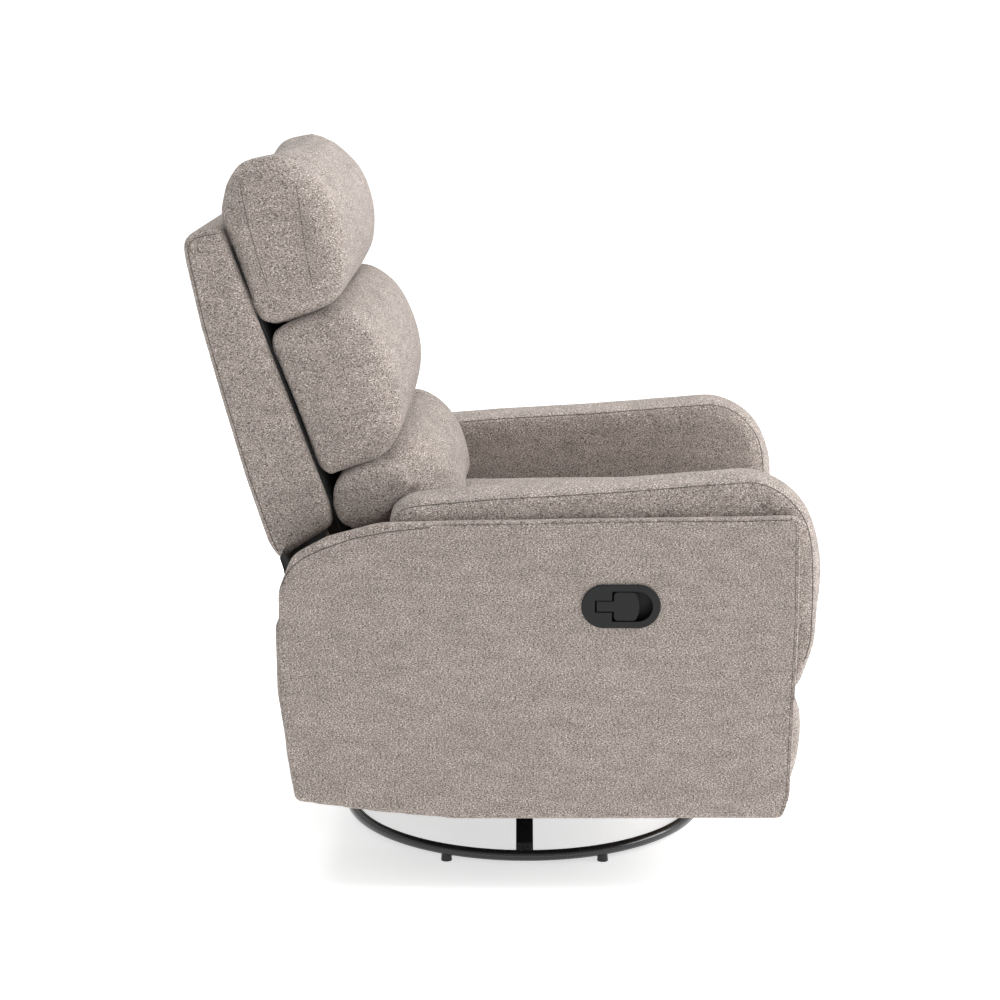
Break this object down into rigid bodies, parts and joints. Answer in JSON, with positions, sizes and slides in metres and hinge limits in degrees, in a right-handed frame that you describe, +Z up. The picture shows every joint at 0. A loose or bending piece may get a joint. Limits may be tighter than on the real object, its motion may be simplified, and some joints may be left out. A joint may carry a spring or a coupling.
{
  "type": "glider recliner",
  "caption": "Upholstered swivel glider recliner with channelled back pillows, rounded arms, fold-out footrest, side release latch and a ring base.",
  "frame": {"origin": "on the floor, under the middle of the chair's width and depth; the swivel axis is 29 mm in front of it", "axes": "+Z up, the sitter faces -Y, +X to the sitter's left"},
  "size_m": [0.7825, 0.874, 1.037],
  "materials": {
    "upholstery": "matte",
    "black_steel": "gloss",
    "zinc_steel": "satin",
    "glide_plastic": "matte",
    "timber": "matte",
    "black_plastic": "satin",
    "dust_cloth": "matte"
  },
  "bodies": {
    "base": {"base_ring": "black_steel", "base_spokes": "black_steel", "floor_glides": "glide_plastic", "hub_plate": "black_steel", "lower_race": "zinc_steel", "ball_cage": "glide_plastic", "bearing_balls": "zinc_steel", "swivel_bolt": "zinc_steel", "swivel_nut": "zinc_steel"},
    "turntable": {"upper_race": "zinc_steel", "turntable_plate": "black_steel", "turntable_bolts": "zinc_steel", "glider_brackets": "black_steel", "upper_link_pins": "zinc_steel"},
    "link_front_right": {"glide_link_front_right": "black_steel"},
    "link_front_left": {"glide_link_front_left": "black_steel"},
    "link_rear_right": {"glide_link_rear_right": "black_steel"},
    "link_rear_left": {"glide_link_rear_left": "black_steel"},
    "latch": {"latch_paddle": "black_plastic"},
    "back": {"back_border": "upholstery", "back_rear_panel": "upholstery", "back_board": "timber", "back_frame": "timber", "back_brackets": "black_steel", "headrest_pillow": "upholstery", "middle_pillow": "upholstery", "lumbar_pillow": "upholstery"},
    "footrest_lower": {"footrest_torque_tube": "black_steel", "footrest_lower_links": "black_steel", "footrest_elbow_rivets": "zinc_steel"},
    "footrest_upper": {"footrest_upper_links": "black_steel"},
    "footrest": {"footrest_brackets": "black_steel", "footrest_board_rivets": "zinc_steel", "footrest_board": "timber", "footrest_pad": "upholstery"},
    "seat_frame": {"arm_bearers": "timber", "arm_board_left": "timber", "arm_board_right": "timber", "arm_front_pads": "upholstery", "arm_inner_pads": "upholstery", "arm_top_pad_left": "upholstery", "arm_top_pad_right": "upholstery", "cross_tubes": "black_steel", "dust_covers": "dust_cloth", "latch_bezel": "black_plastic", "latch_pin": "zinc_steel", "lower_link_pins": "zinc_steel", "mechanism_plate_left": "black_steel", "mechanism_plate_right": "black_steel", "rail_bolts": "zinc_steel", "rear_skirt": "upholstery", "recline_pins": "zinc_steel", "release_cable": "glide_plastic", "seat_cross_rails": "timber", "seat_cushion": "upholstery", "seat_rails": "timber", "seat_springs": "zinc_steel", "side_panel_left": "upholstery", "side_panel_right": "upholstery"}
  },
  "joints": [
    {"name": "swivel", "type": "hinge", "parent": "base", "child": "turntable", "pos_m": [0, -0.029, 0.081], "axis": [0, 0, 1], "continuous": true},
    {"name": "glide", "type": "hinge", "parent": "turntable", "child": "link_front_right", "pos_m": [-0.2075, -0.139, 0.262], "axis": [-1, 0, 0], "range_deg": [-18, 18]},
    {"name": "glide_level", "type": "hinge", "parent": "link_front_right", "child": "seat_frame", "pos_m": [-0.2075, -0.139, 0.132], "axis": [-1, 0, 0], "range_deg": [-18, 18]},
    {"name": "glide_front_left", "type": "hinge", "parent": "turntable", "child": "link_front_left", "pos_m": [0.2075, -0.139, 0.262], "axis": [-1, 0, 0], "range_deg": [-18, 18]},
    {"name": "glide_rear_right", "type": "hinge", "parent": "turntable", "child": "link_rear_right", "pos_m": [-0.2075, 0.081, 0.262], "axis": [-1, 0, 0], "range_deg": [-18, 18]},
    {"name": "glide_rear_left", "type": "hinge", "parent": "turntable", "child": "link_rear_left", "pos_m": [0.2075, 0.081, 0.262], "axis": [-1, 0, 0], "range_deg": [-18, 18]},
    {"name": "recline", "type": "hinge", "parent": "seat_frame", "child": "back", "pos_m": [0, 0.221, 0.44], "axis": [-1, 0, 0], "range_deg": [0, 40]},
    {"name": "footrest", "type": "hinge", "parent": "seat_frame", "child": "footrest_lower", "pos_m": [0, -0.224, 0.312], "axis": [-1, 0, 0], "range_deg": [0, 100]},
    {"name": "footrest_elbow", "type": "hinge", "parent": "footrest_lower", "child": "footrest_upper", "pos_m": [0, -0.16838, 0.14081], "axis": [-1, 0, 0], "range_deg": [-100, 0]},
    {"name": "footrest_board_turn", "type": "hinge", "parent": "footrest_upper", "child": "footrest", "pos_m": [0, -0.32804, 0.22393], "axis": [-1, 0, 0], "range_deg": [0, 90]},
    {"name": "latch", "type": "hinge", "parent": "seat_frame", "child": "latch", "pos_m": [-0.386, -0.128, 0.4215], "axis": [0, 0, -1], "range_deg": [0, 35], "stiffness_Nm_per_rad": 0.3, "springref_deg": -17.19}
  ],
  "couplings": [
    {"joint": "glide_level", "follows": "glide", "ratio": -1},
    {"joint": "glide_front_left", "follows": "glide", "ratio": 1},
    {"joint": "glide_rear_right", "follows": "glide", "ratio": 1},
    {"joint": "glide_rear_left", "follows": "glide", "ratio": 1},
    {"joint": "footrest_elbow", "follows": "footrest", "ratio": -1},
    {"joint": "footrest_board_turn", "follows": "footrest", "ratio": 0.9}
  ]
}
